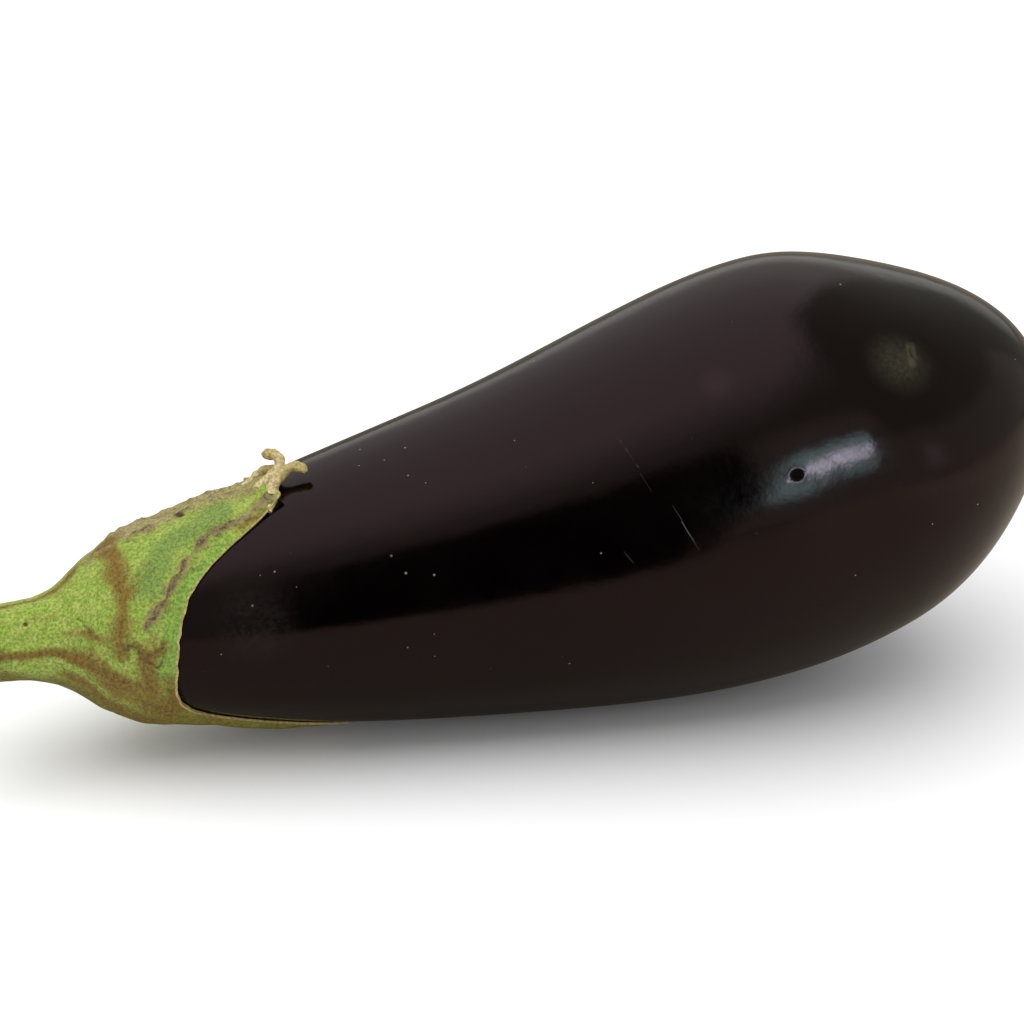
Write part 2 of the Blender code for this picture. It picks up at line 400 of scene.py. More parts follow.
def strokeMask(tree, place, start, end, width):  # 1 on a thin line along the skin between two spots, 0 off it
    parts = 3  # straight parts that follow the round of the skin
    stops = [onFruit(*(start[k] + (end[k] - start[k]) * i / parts for k in (0, 1))) for i in range(parts + 1)]
    nearest = None
    for first, last in zip(stops[:-1], stops[1:]):
        run = last - first
        fromFirst = addNode(tree, "VectorMath", "SUBTRACT", {0: place, 1: first})
        dot = addNode(tree, "VectorMath", "DOT_PRODUCT", {0: fromFirst, 1: run / run.length_squared})
        share = addNode(tree, "Math", {"operation": "MULTIPLY", "use_clamp": True}, {
            0: dot.outputs["Value"], 1: 1.0,
        })
        foot = addNode(tree, "VectorMath", "SCALE", {0: run, "Scale": share})
        away = addNode(tree, "VectorMath", "DISTANCE", {0: fromFirst, 1: foot}).outputs["Value"]
        nearest = away if nearest is None else addNode(tree, "Math", "MINIMUM", {0: nearest, 1: away})
    return addNode(tree, "MapRange", "SMOOTHSTEP", {
        "Value": nearest, "From Min": width, "From Max": 0,
    })


def spotMask(tree, place, along, angle, inner, outer):  # 1 inside a round spot, 0 outside
    centre = onFruit(along, angle)
    away = addNode(tree, "VectorMath", "DISTANCE", {0: place, 1: centre})
    return addNode(tree, "MapRange", "SMOOTHSTEP", {
        "Value": away.outputs["Value"], "From Min": outer * mm, "From Max": inner * mm,
    })


def makeSkin():  # waxy eggplant skin: near black, with a sharp but slightly uneven gloss of a faint plum tint
    look = fruitLook
    scar, slit, pit, dent, scuff = (look[name] for name in ("scar", "slit", "pit", "dent", "scuff"))
    constants = {**look["shader"], "Specular Tint": toLinear(look["glossTint"])}
    material, tree, shader = newMaterial("waxyEggplantSkin", constants)
    place = addNode(tree, "TexCoord").outputs["Object"]
    textures = {}
    for name, (size, detail, roughness) in look["textures"].items():
        textures[name] = addNode(tree, "TexNoise", None, {
            "Vector": place, "Scale": 1 / (size * mm), "Detail": detail, "Roughness": roughness,
        })
    readings = {}
    for name, (texture, low, high, least, most) in look["readings"].items():
        readings[name] = addNode(tree, "MapRange", None, {
            "Value": textures[texture], "From Min": low, "From Max": high, "To Min": least, "To Max": most,
        })
    strong = readings["strong"]

    # the places of the scar, the pit, the dent and the scuff
    greyAt = scar["along"] + scar["greyOffset"]
    scarSpot = spotMask(tree, place, greyAt, scar["angle"], scar["greyInner"], scar["greyOuter"])
    scarShare = addNode(tree, "Math", "MULTIPLY", {0: scarSpot, 1: readings["soft"]})
    pitInner, pitOuter = pit["reach"] * pit["dullInner"], pit["reach"] * pit["dullOuter"]
    pitShare = spotMask(tree, place, pit["along"], pit["angle"], pitInner, pitOuter)
    dentShare = spotMask(tree, place, dent["along"], dent["angle"], dent["plumInner"], dent["plumOuter"])
    scuffSpot = spotMask(tree, place, scuff["along"], scuff["angle"], scuff["inner"], scuff["outer"])
    scuffShare = addNode(tree, "Math", "MULTIPLY", {0: scuffSpot, 1: strong})

    # scratches, worn through in places
    marks = None
    for start, end, width, strength in look["scratches"]:
        line = strokeMask(tree, place, start, end, width * mm)
        line = addNode(tree, "Math", "MULTIPLY", {0: line, 1: strength})
        marks = line if marks is None else addNode(tree, "Math", "MAXIMUM", {0: marks, 1: line})
    worn = addNode(tree, "Math", "MULTIPLY", {0: marks, 1: strong})
    worn = addNode(tree, "Math", "MULTIPLY", {0: worn, 1: readings["broken"]})

    # colour, from the skin's own mottling up to the dust that lies on it
    colour = overlay(tree, toLinear(look["skin"]), look["skinPlum"], readings["plum"])
    colour = overlay(tree, colour, look["skinOlive"], readings["olive"])
    colour = overlay(tree, colour, look["scarGrey"], scarShare)
    paleLine = strokeMask(tree, place, *slit["line"], slit["paleWidth"] * mm)
    darkLine = strokeMask(tree, place, *slit["line"], slit["darkWidth"] * mm)
    colour = overlay(tree, colour, look["slitPale"], paleLine, slit["paleShare"])
    colour = overlay(tree, colour, look["slitDark"], darkLine)
    colour = overlay(tree, colour, look["dentPlum"], dentShare, dent["plumShare"])
    colour = overlay(tree, colour, look["scratchTone"], worn, look["scratchShare"])
    for spacing, size, leftOut in look["dustGrid"]:
        cells = addNode(tree, "TexVoronoi", None, {"Vector": place, "Scale": 1 / (spacing * mm)})
        dot = addNode(tree, "MapRange", None, {
            "Value": cells.outputs["Distance"], "From Min": size, "From Max": size * look["dotCore"],
        })
        chosen = addNode(tree, "SeparateColor", None, {"Color": cells.outputs["Color"]})
        bright = addNode(tree, "MapRange", None, {
            "Value": chosen, "From Min": leftOut, "From Max": 0.9, "To Max": look["dotShare"],
        })
        colour = overlay(tree, colour, look["dust"], dot, bright)
    dust = None
    for along, angle, size in look["specks"]:
        dot = spotMask(tree, place, along, angle, size * look["speckInner"], size * look["speckOuter"])
        dust = dot if dust is None else addNode(tree, "Math", "MAXIMUM", {0: dust, 1: dot})
    colour = overlay(tree, colour, look["dust"], dust, look["speckShare"])
    colour = overlay(tree, colour, look["scuffGrey"], scuffShare, scuff["share"])

    # roughness: the mottled wax, and what has worn duller
    rough = addNode(tree, "Math", "ADD", {0: readings["gloss"], 1: readings["bloom"]})
    rubbed = addNode(tree, "Math", "MULTIPLY", {0: scuffShare, 1: scuff["roughness"]})
    rough = addNode(tree, "Math", "ADD", {0: rough, 1: rubbed})
    dulled = ((scarShare, scar["roughness"]), (pitShare, pit["roughness"]), (worn, look["scratchRoughness"]))
    for share, roughness in dulled:
        dull = addNode(tree, "Math", "MULTIPLY", {0: share, 1: roughness})
        rough = addNode(tree, "Math", "MAXIMUM", {0: rough, 1: dull})

    # slow swelling, orange peel about 2 mm wide and a finer grain of wax, with the scratches cut into them
    normal = {}
    for texture, height in look["bumps"]:
        bump = addNode(tree, "Bump", None, {
            "Strength": 1.0, "Distance": height * mm, "Height": textures[texture], **normal,
        })
        normal = {"Normal": bump}
    cuts = addNode(tree, "Bump", {"invert": True}, {
        "Strength": look["scratchCut"], "Distance": look["scratchDepth"] * mm, "Height": marks, **normal,
    })
    tree.links.new(colour.outputs[0], shader.inputs["Base Color"])
    tree.links.new(rough.outputs[0], shader.inputs["Roughness"])
    tree.links.new(cuts.outputs[0], shader.inputs["Normal"])
    print("skin: material made")
    return material


fruit = makeFruit()
fruit.data.materials.append(makeSkin())
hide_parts("fruit")
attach(fruit, "root")


# What the calyx and the stem share, so that ribs and bruises run on from one to the other.
# A line is points of (mm along, degrees around), and widths and heights are in mm.
greenLook = {
    "degree": 0.36,  # mm that one degree is taken for
    "ridges": [  # corky ribs: line, width, height
        ([(0.5, 29), (3, 34), (8, 50), (14.6, 66), (22.6, 73), (31, 78)], 0.85, 0.7),
        ([(-5.5, 99), (1.9, 89), (8, 93), (13, 95.5), (20, 95), (26, 92), (31, 88)], 1.0, 0.65),
        ([(-1, 112), (12, 108), (26, 103)], 1.1, 0.55),
        ([(2, 150), (14, 148), (27, 146)], 1.1, 0.6),
        ([(0, 186), (14, 190), (30, 194)], 1.1, 0.6),
        ([(1, 225), (13, 238), (26, 244)], 1.1, 0.6),
        ([(2, 290), (16, 292), (30, 293)], 1.0, 0.5),
    ],
    "ribSwelling": 0.9,  # a rib swells and thins by this share along its way
    "swellingSize": 3,
    "swellingLimits": (0.5, 1.3),
    "ribHeight": 0.8,
    "ribGrain": 0.7,
    "ribGrainSize": 1.3,
    "creaseWidth": 1.6,  # the crease beside a rib, as a multiple of the rib's width
    "creaseDepth": 0.4,
    # painted shade: the crease beside a rib is painted dark by this share, in the cracks' colour
    "creaseShade": 1.1,
    "ribCork": 1.3,  # how soon a rib turns corky with its height
    "unevenness": [(0.2, 6, 1.3), (0.1, 1.8, 5.2)],  # height, size, shift of the pattern
    "crooks": [(2.6, 3.5, 4.4), (2.2, 1.6, 2.9)],  # degrees, size, shift of the pattern
    "brown": [  # bruises and brown streaks: line, width, strength
        ([(-3, 104), (-2.8, 78), (-2.8, 48), (-4.2, 30), (-4.9, 14)], 2.3, 0.9),
        ([(-3.8, 104), (-2.5, 98)], 3.2, 1.0),
        ([(-40, 8), (-25, 7), (-16, 10), (-9, -2), (-3, -12), (2, -21)], 2.8, 0.95),
        ([(-7, -14), (-1, -22), (4, -34)], 4.2, 0.95),
        ([(0.5, 9), (1, -4), (0.2, -14)], 2.6, 0.95),
        ([(-4, 17), (0, 11), (3.4, 15)], 1.6, 0.7),
        ([(-13, 32), (-9, 26), (-4, 14)], 2.2, 0.6),
        ([(-40, 96), (-24, 98), (-10, 104)], 2.6, 0.85),
        ([(-40, 42), (-28, 50), (-16, 58)], 1.2, 0.35),
        ([(3.5, -8), (6, -30), (14, -48)], 2.4, 0.8),
        ([(-14, -20), (-6, -40), (4, -60)], 3.5, 0.8),
        ([(24, 69), (30, 75)], 2.2, 0.8),
        ([(-6, 150), (-4, 190)], 2.6, 0.8),
        ([(-30, 200), (-14, 215), (0, 240)], 2.8, 0.8),
        ([(4, 265), (8, 285)], 2.4, 0.6),
    ],
    "nicks": [  # small dark cracks: line, width, strength
        ([(-12, 46), (-9.6, 29)], 0.35, 0.9),
        ([(-21.6, 51), (-21.5, 53)], 0.6, 0.9),
        ([(12.6, 95), (13.4, 93)], 0.9, 1.0),
        ([(-3.2, 19), (-1.6, 12)], 0.4, 0.8),
        ([(-8, 60), (-6.6, 50)], 0.3, 0.6),
        ([(-1, 8), (1.5, 4), (3.5, 9)], 0.45, 0.7),
        ([(4, 37), (10, 55)], 0.3, 0.6),
        ([(18, 71), (22, 75)], 0.3, 0.5),
        ([(-4, 17), (-0.4, 10.5), (3.4, 14.5)], 0.7, 0.65),
        ([(-0.4, 10.5), (-0.7, 1), (0.2, -12)], 0.6, 0.5),
    ],
    "nickDepth": 0.3,
    "smoothPatches": [  # line, width
        ([(2, 50), (9, 72), (20, 84)], 3.6), ([(3, 168), (16, 168)], 4), ([(3, 214), (16, 214)], 4),
    ],
    "looseDegrees": 5,  # how far colours stray from their lines, in degrees and in mm along
    "looseAlong": 1.4,
    "looseSize": 5,
    "freshFromEdge": 2.2,  # a fresh green band this far inside the free edge
    "freshBand": (3.6, 1.4),  # and its half width, from where it sets in to where it is full
    "freshAlong": (30, 14),
    # painted shade: the green is painted olive underneath, where shade falls
    "shadedFront": (-8, -50),  # olive underneath, between these degrees in front and behind
    "shadedBack": (215, 240),
    "dryAround": (74, 104),  # dry and tan over the top
    "dryAlong": (-14, 0),
    "greenBack": 0.75,  # and by this share greener again on the far side
    "greenBackAround": (125, 160),
    "textures": {  # size, detail, roughness
        "broad": (6, 6, 0.65), "middle": (2.2, 6, 0.7), "fine": (0.6, 3, 0.7),
    },
    "paints": {  # the names of the shares in each painted layer
        "tone": ("cork", "bruised", "cracked"), "wear": ("edge", "shaded", "dry"),
        "leaf": ("smooth", "fresh", "bleached"),
    },
    "layers": [  # painted share or None, texture, how far it breaks up the share, from, to, most, colour
        (None, "middle", 0, 0.3, 0.8, 1, "pale"),
        ("smooth", "broad", 1.0, 0.1, 0.9, 1, "smooth"),
        ("fresh", "broad", 0.8, 0.2, 1.1, 1, "lime"),
        # painted shade: olive underneath
        ("shaded", "broad", 1.4, 0.15, 1.0, 1, "olive"),
        ("dry", "middle", 1.6, 0.2, 1.1, 1, "tan"),
        ("bruised", "broad", 1.3, 0.05, 1.0, 1, "bruise"),
        ("cork", "middle", 1.5, 0.2, 0.8, 1, "tan"),
        ("cork", "fine", 2.6, 0.7, 1.3, 1, "bark"),
        # the dark cracks, with the painted shade of the creases beside the ribs
        ("cracked", "middle", 1.8, 0.2, 1.1, 1, "bark"),
        (None, "broad", 0, 0.55, 0.72, 0.4, "bruise"),
        ("edge", "fine", 0.8, 0.3, 0.9, 1, "edge"),
    ],
    "speckle": (0.58, 1.42),  # how dark and how bright the finest grain gets
    "bumpStrength": 0.6,
    "bumps": [("middle", 0.45), ("fine", 0.18)],  # texture, height
    "bright": "#7c9630", "pale": "#9aa352", "smooth": "#6c8338", "lime": "#78983a", "tan": "#918457",
    "bark": "#3f331a", "bruise": "#725a1c", "edge": "#a4935c", "olive": "#6e6822", "cream": "#c2b184",
}


def strokeShare(along, angle, line, width):  # 1 on a line drawn on the green parts, falling to 0 at width
    degree = greenLook["degree"]
    flat = np.stack([along, angle * degree], axis=1)
    best = np.full(len(along), 1e9)
    for (along0, angle0), (along1, angle1) in zip(line[:-1], line[1:]):
        start, end = np.array([along0, angle0 * degree]), np.array([along1, angle1 * degree])
        run = end - start
        share = np.clip((flat - start) @ run / (run @ run), 0, 1)
        best = np.minimum(best, np.linalg.norm(flat - start - share[:, None] * run, axis=1))
    return np.exp(-(best / width) ** 2)


def strongest(along, angle, name):
    share = np.zeros(len(along))
    for line, width, strength in greenLook[name]:
        share = np.maximum(share, strength * strokeShare(along, angle, line, width))
    return share


def wander(angle, points):  # lines drawn on the green are a little crooked
    turned = np.where(angle < -90, angle + 360, angle)
    for degrees, size, shift in greenLook["crooks"]:
        turned = turned + degrees * ripple(points, size * mm, shift)
    return turned


def ribs(along, angle, points):  # height in mm of the corky ribs, and the share of the crease beside them
    look = greenLook
    rise, crease = np.zeros(len(along)), np.zeros(len(along))
    swelling = 1 + look["ribSwelling"] * ripple(points, look["swellingSize"] * mm, shift=6.6)
    for line, width, height in look["ridges"]:
        share = strokeShare(along, angle, line, width * swelling)
        beside = strokeShare(along, angle, line, width * swelling * look["creaseWidth"])
        rise = np.maximum(rise, height * share * np.clip(swelling, *look["swellingLimits"]))
        crease = np.maximum(crease, beside - share)
    return rise, crease


def greenRelief(along, angle, points):  # height in mm over the plain form, the same on both sides of the seam
    look = greenLook
    height = np.zeros(len(along))
    for rough, size, shift in look["unevenness"]:
        height += rough * ripple(points, size * mm, shift)
    crooked = wander(angle, points)
    rise, crease = ribs(along, crooked, points)
    grain = look["ribHeight"] + look["ribGrain"] * ripple(points, look["ribGrainSize"] * mm, shift=9.4)
    height += rise * grain - look["creaseDepth"] * crease
    height -= look["nickDepth"] * strongest(along, crooked, "nicks")
    return height


# this also paints shade: dark in the creases beside the ribs, and olive underneath
def paintGreen(piece, along, angle, points, edge):  # where the green is corky, bruised, cracked, fresh or dry
    look = greenLook
    crooked = wander(angle, points)
    loose = crooked + look["looseDegrees"] * ripple(points, look["looseSize"] * mm, shift=2.2)
    shifted = along + look["looseAlong"] * ripple(points, look["looseSize"] * mm, shift=8.8)
    smooth = np.zeros(len(along))
    for line, width in look["smoothPatches"]:
        smooth = np.maximum(smooth, strokeShare(shifted, loose, line, width))
    fromBand = np.abs(calyxEnd(angle) - shifted - look["freshFromEdge"])
    fresh = smoothStep(*look["freshBand"], fromBand) * smoothStep(*look["freshAlong"], along)
    fresh = fresh * (along > form["calyxFace"])
    # painted shade: olive underneath, in front and behind
    shaded = smoothStep(*look["shadedFront"], loose) + smoothStep(*look["shadedBack"], loose)
    dry = smoothStep(*look["dryAround"], loose) * smoothStep(*look["dryAlong"], shifted)
    dry = dry * (1 - look["greenBack"] * smoothStep(*look["greenBackAround"], loose))
    bruised = strongest(shifted, loose, "brown")
    rise, crease = ribs(along, crooked, points)
    # painted shade: the crease beside a rib is painted dark along with the real cracks
    cracked = np.maximum(strongest(along, crooked, "nicks"), look["creaseShade"] * crease)
    paint(piece, "tone", look["ribCork"] * rise, bruised, cracked)
    paint(piece, "wear", edge, shaded, dry)
    paint(piece, "leaf", smooth, fresh, np.zeros(len(along)))


# painted shade is mixed in as well: dark creases beside the ribs, and olive underneath
def makeGreen(name, constants):  # matt green mottled with tan cork, brown bruises and dark cracks
    look = greenLook
    material, tree, shader = newMaterial(name, constants)
    place = addNode(tree, "TexCoord").outputs["Object"]
    shares = {}
    for layer, names in look["paints"].items():
        painted = addNode(tree, "Attribute", layer)
        shares.update(zip(names, addNode(tree, "SeparateColor", None, {"Color": painted}).outputs))
    textures = {}
    for texture, (size, detail, roughness) in look["textures"].items():
        textures[texture] = addNode(tree, "TexNoise", None, {
            "Vector": place, "Scale": 1 / (size * mm), "Detail": detail, "Roughness": roughness,
        })
    colour = toLinear(look["bright"])
    for share, texture, reach, low, high, most, tint in look["layers"]:
        amount = textures[texture]
        if share:
            shifted = addNode(tree, "Math", "SUBTRACT", {0: amount, 1: 0.5})
            amount = addNode(tree, "Math", "MULTIPLY_ADD", {0: shifted, 1: reach, 2: shares[share]})
        amount = addNode(tree, "MapRange", "SMOOTHSTEP", {
            "Value": amount, "From Min": low, "From Max": high, "To Max": most,
        })
        colour = overlay(tree, colour, look[tint], amount)
    colour = overlay(tree, colour, look["cream"], shares["bleached"])
    speckle = addNode(tree, "MapRange", "SMOOTHSTEP", {
        "Value": textures["fine"], "From Min": 0.3, "From Max": 0.7,
        "To Min": look["speckle"][0], "To Max": look["speckle"][1],
    })
    colour = addNode(tree, "VectorMath", "SCALE", {0: colour, "Scale": speckle})
    normal = {}
    for texture, height in look["bumps"]:
        bump = addNode(tree, "Bump", None, {
            "Strength": look["bumpStrength"], "Distance": height * mm, "Height": textures[texture], **normal,
        })
        normal = {"Normal": bump}
    tree.links.new(colour.outputs[0], shader.inputs["Base Color"])
    tree.links.new(bump.outputs[0], shader.inputs["Normal"])
    print("green:", name, "material made")
    return material


# What a user would change on the calyx, in mm. Shares run from 0 at the stem to 1 at the free edge.
calyxLook = {
    "columns": 540,
    "rows": 96,
    "edgeRows": [(1.0, 0.85), (1.0, 0.5), (1.0, 0.15), (0.995, 0.0)],  # share, and share of the thickness
    "insideRows": 12,
    "ragged": 0.35,
    "tipEnd": 32.6,  # the top lobe ends here, bluntly, in its dry curled tip
    "tipRagged": 0.8,
    "tipAcross": (40, 26),  # degrees off the top between which that holds
    "pressed": 0.9,  # how far the outer part is pressed down to the skin
    "pressedFrom": 0.6,
    "leastOver": 0.5,  # and it stays this far over the skin
    "gapClosing": 0.8,
    "calmEdge": 0.7,  # the ribs fade by this much at the edge
    "calmFrom": 0.94,
    "lift": 1.5,  # the end of the top lobe stands off the fruit
    "liftAlong": (25, 33),
    "liftAcross": (26, 8),
    "curl": 0.1,
    "curlFrom": 0.93,
    "widening": (4, 20),  # between these places along it takes up the fruit's own width
    "dryEdge": (0.65, 0.3),  # the dry pale rim sets in between these distances from the edge
    "shader": {"Roughness": 0.55, "Specular IOR Level": 0.4},
    "fingers": [  # the top lobe's dry curled tips: points as (along, angle, height over the skin), and radii
        ([(29.5, 74, 0.2), (31, 78, 0.8), (31.8, 83, 1.4), (33.2, 86.5, 2.0), (35.4, 88.6, 2.7),
          (37.4, 88.8, 3.2), (38.8, 87.6, 3.0), (39.4, 85.4, 2.4), (39.5, 84.2, 2.1)],
         [0.7, 1.15, 1.25, 1.2, 1.05, 1.05, 1.1, 0.95, 0.45]),
        ([(29, 90, 0.9), (32, 91, 1.8), (34.8, 90.5, 3.0), (35.8, 92.5, 4.6), (35.4, 95.4, 5.3),
          (34.4, 97.4, 5.6), (33.4, 98.2, 5.6), (33.0, 98.4, 5.6)],
         [0.9, 1.25, 1.2, 1.1, 1.15, 1.2, 1.0, 0.5]),
        ([(27, 100, 0.6), (30.5, 101, 1.5), (32.6, 99, 2.3), (34.2, 95, 2.8), (34.6, 93, 2.9)],
         [0.6, 1.0, 1.1, 0.9, 0.5]),
    ],
    # the curled tip of each lobe at the back, from that lobe's end
    "backFinger": [(-3.5, 0, 0.6), (-1, 0, 1.0), (0.6, 1, 1.9), (0.4, 2, 3.1), (-0.8, 2, 3.6)],
    "backRadii": [0.7, 0.95, 0.9, 0.8, 0.4],
    "fingerBumps": 0.3,
    "bleachFrom": (0.25, 0.85),  # a finger pales between these shares of its length
}


def makeCalyx():
    look = calyxLook
    rows, inside = look["rows"], look["insideRows"]
    plan = [(i / rows, 1.0) for i in range(rows + 1)] + look["edgeRows"]
    plan += [((i / inside) ** 1.5, 0.0) for i in range(inside - 1, -1, -1)]
    bpy.ops.object.select_all(action="DESELECT")
    bpy.ops.mesh.primitive_circle_add(vertices=look["columns"], radius=1, rotation=(0, math.pi / 2, 0))
    bpy.ops.object.transform_apply(location=True, rotation=True, scale=True)
    calyx = bpy.context.object
    calyx.name = "calyxSepals"
    startEdit(calyx)
    bpy.ops.mesh.select_all(action="SELECT")
    for _ in plan[1:]:
        bpy.ops.mesh.extrude_edges_move(TRANSFORM_OT_translate={"value": (1, 0, 0)})
    stopEdit()
    drawn = readPoints(calyx)
    row = np.rint(drawn[:, 0]).astype(int)
    angle = np.degrees(np.arctan2(drawn[:, 2], -drawn[:, 1]))
    share, solid = np.array(plan)[row].T
    onTop = smoothStep(*look["tipAcross"], angleFrom(90, angle))
    around = np.stack([np.cos(np.radians(angle)), np.sin(np.radians(angle)), np.zeros(len(angle))], axis=1)
    ragged = ripple(around, 0.09, shift=6.1)
    end = calyxEnd(angle) + look["ragged"] * ragged
    end += (np.minimum(end, look["tipEnd"] + look["tipRagged"] * ragged) - end) * onTop
    along = form["calyxFace"] + (end - form["calyxFace"]) * share
    outside = calyxOutside(along, share)
    pressed = outside - look["pressed"] * smoothStep(look["pressedFrom"], 1, share)
    outside = np.maximum(pressed, np.minimum(outside, fruitRadius(along) + look["leastOver"]))
    gap = form["gap"] * (1 - look["gapClosing"] * share)
    innerAlong, innerRadius = offSkin(form["base"] + (end - form["base"]) * share, gap)
    start = layDown(along, outside, outside, angle)
    height = greenRelief(along, angle, start) * solid
    height = height * (1 - look["calmEdge"] * smoothStep(look["calmFrom"], 1, share))
    lift = look["lift"] * smoothStep(*look["liftAlong"], along)
    lift = lift * smoothStep(*look["liftAcross"], np.abs(angle - 90))
    curl = look["curl"] * smoothStep(look["curlFrom"], 1, share) * (1 + ripple(start, 5 * mm, shift=7.7))
    radius = innerRadius + (outside - innerRadius) * solid + height + lift + curl
    along = np.where(solid > 0.5, along, innerAlong + (along - innerAlong) * solid)
    wider = (fruitHalfWidth(along) - fruitRadius(along)) * smoothStep(*look["widening"], along)
    writePoints(calyx, layDown(along, radius, radius + wider, angle))
    smoothFaces(calyx)
    toEdge = (1 - share) * (end - form["calyxFace"])
    edge = np.maximum(smoothStep(*look["dryEdge"], toEdge), 1 - solid)
    paintGreen(calyx, along, angle, start, edge)
    print("calyx:", len(calyx.data.vertices), "points")
    return calyx


def makeFinger(points, radii):  # a soft tube through points over the skin
    bpy.ops.curve.primitive_nurbs_path_add()
    finger = bpy.context.object
    spline = finger.data.splines[0]
    if len(points) > len(spline.points):
        spline.points.add(len(points) - len(spline.points))
    for point, (along, angle, height), radius in zip(spline.points, points, radii):
        point.co = (*onFruit(along, angle, height), 1)
        point.radius = radius
    spline.order_u = 3
    spline.use_endpoint_u = True
    spline.resolution_u = 10
    finger.data.bevel_depth = mm
    finger.data.bevel_resolution = 5
    finger.data.use_fill_caps = True
    bpy.ops.object.convert(target="MESH")
    return bpy.context.object


def makeTips(calyx):  # the shrivelled tips, joined to the calyx they grow from
    look = calyxLook
    fingers = list(look["fingers"])
    for tip, end, _, _ in form["lobes"][1:4]:
        points = [(end + along, tip + angle, height) for along, angle, height in look["backFinger"]]
        fingers.append((points, look["backRadii"]))
    fingers = [makeFinger(*finger) for finger in fingers]
    for number, finger in enumerate(fingers):
        points, normals = readPoints(finger), readNormals(finger)
        bumps = look["fingerBumps"] * ripple(points, 1.1 * mm, shift=number + 3.3)
        writePoints(finger, points + normals * bumps[:, None] * mm)
        smoothFaces(finger)
        nothing = np.zeros(len(points))
        far = np.linalg.norm(points - points[0], axis=1)
        bleached = smoothStep(*look["bleachFrom"], far / far.max())
        paint(finger, "tone", 0.6 * (1 - bleached), 0.5 * (1 - bleached), nothing)
        paint(finger, "wear", nothing + 1, nothing, nothing + 0.6)
        paint(finger, "leaf", nothing, nothing, bleached)
    bpy.ops.object.select_all(action="DESELECT")
    for finger in fingers:
        finger.select_set(True)
    calyx.select_set(True)
    bpy.context.view_layer.objects.active = calyx
    bpy.ops.object.join()
    print("calyx:", len(fingers), "dry tips joined")


calyx = makeCalyx()
makeTips(calyx)
calyx.data.materials.append(makeGreen("leatherySepal", calyxLook["shader"]))
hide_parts("calyx")
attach(calyx, "root")


# What a user would change on the stem, in mm. Shares are of its radius.
stemLook = {
    "columns": 180,
    "rows": 120,
    "cutRings": (0.12, 0.3, 0.5, 0.68, 0.82, 0.92, 0.965),
    "bevel": (0.15, 0.99),  # how far back the first ring past the cut lies, and its share
    "sideFrom": 0.5,
    "under": 1.6,  # it runs this far under the calyx
    "hidden": 0.25,  # and is this much thinner there, after a step of the next length
    "hiddenOver": 0.4,
    "furrows": 5,
    "furrowTurn": 40,
    "furrowDepth": 0.22,
    "furrowFrom": (-8, -22),
    "cutDepth": 0.5,
    "cutUneven": 0.4,
    "shader": {"Roughness": 0.6, "Specular IOR Level": 0.4},
}


def makeStem():
    look = stemLook
    last = form["calyxFace"] + look["under"]
    first = form["stemEnd"] + look["sideFrom"]
    plan = [(form["stemEnd"], share) for share in look["cutRings"]]
    plan += [(form["stemEnd"] + look["bevel"][0], look["bevel"][1])]
    plan += [(first + (last - first) * i / look["rows"], 1) for i in range(look["rows"] + 1)]
    bpy.ops.object.select_all(action="DESELECT")
    bpy.ops.mesh.primitive_circle_add(
        vertices=look["columns"], radius=1, rotation=(0, math.pi / 2, 0), fill_type="TRIFAN")
    bpy.ops.object.transform_apply(location=True, rotation=True, scale=True)
    stem = bpy.context.object
    stem.name = "cutStem"
    startEdit(stem)
    bpy.ops.mesh.select_all(action="DESELECT")
    bpy.ops.mesh.select_mode(type="EDGE")
    bpy.ops.mesh.select_non_manifold()
    for _ in plan[1:]:
        bpy.ops.mesh.extrude_edges_move(TRANSFORM_OT_translate={"value": (1, 0, 0)})
    bpy.ops.mesh.edge_face_add()
    stopEdit()
    drawn = readPoints(stem)
    row = np.rint(drawn[:, 0]).astype(int)
    angle = np.degrees(np.arctan2(drawn[:, 2], -drawn[:, 1]))
    along, share = np.array(plan)[row].T
    share = np.where(np.hypot(drawn[:, 1], drawn[:, 2]) < 0.5, 0, share)
    radius = stemOutside(along) * share
    start = layDown(along, radius, radius, angle)
    onSide = share > 0.95
    height = greenRelief(along, angle, start) * onSide
    furrows = look["furrowDepth"] * np.cos(np.radians(angle * look["furrows"] + look["furrowTurn"]))
    height += furrows * smoothStep(*look["furrowFrom"], along) * onSide
    hidden = smoothStep(form["calyxFace"], form["calyxFace"] + look["hiddenOver"], along)
    radius = radius + height - look["hidden"] * hidden
    hollow = (1 - share) * (look["cutDepth"] + look["cutUneven"] * ripple(start, 1.5 * mm, shift=2.0))
    hollow = hollow * (along < form["stemEnd"] + 0.1)
    writePoints(stem, layDown(along + hollow, radius, radius, angle))
    smoothFaces(stem)
    cutFace = (along < form["stemEnd"] + 0.3).astype(float)
    paintGreen(stem, along, angle, start, cutFace)
    print("stem:", len(stem.data.vertices), "points")
    return stem


stem = makeStem()
stem.data.materials.append(makeGreen("fibrousStalk", stemLook["shader"]))
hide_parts("stem")
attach(stem, "root")


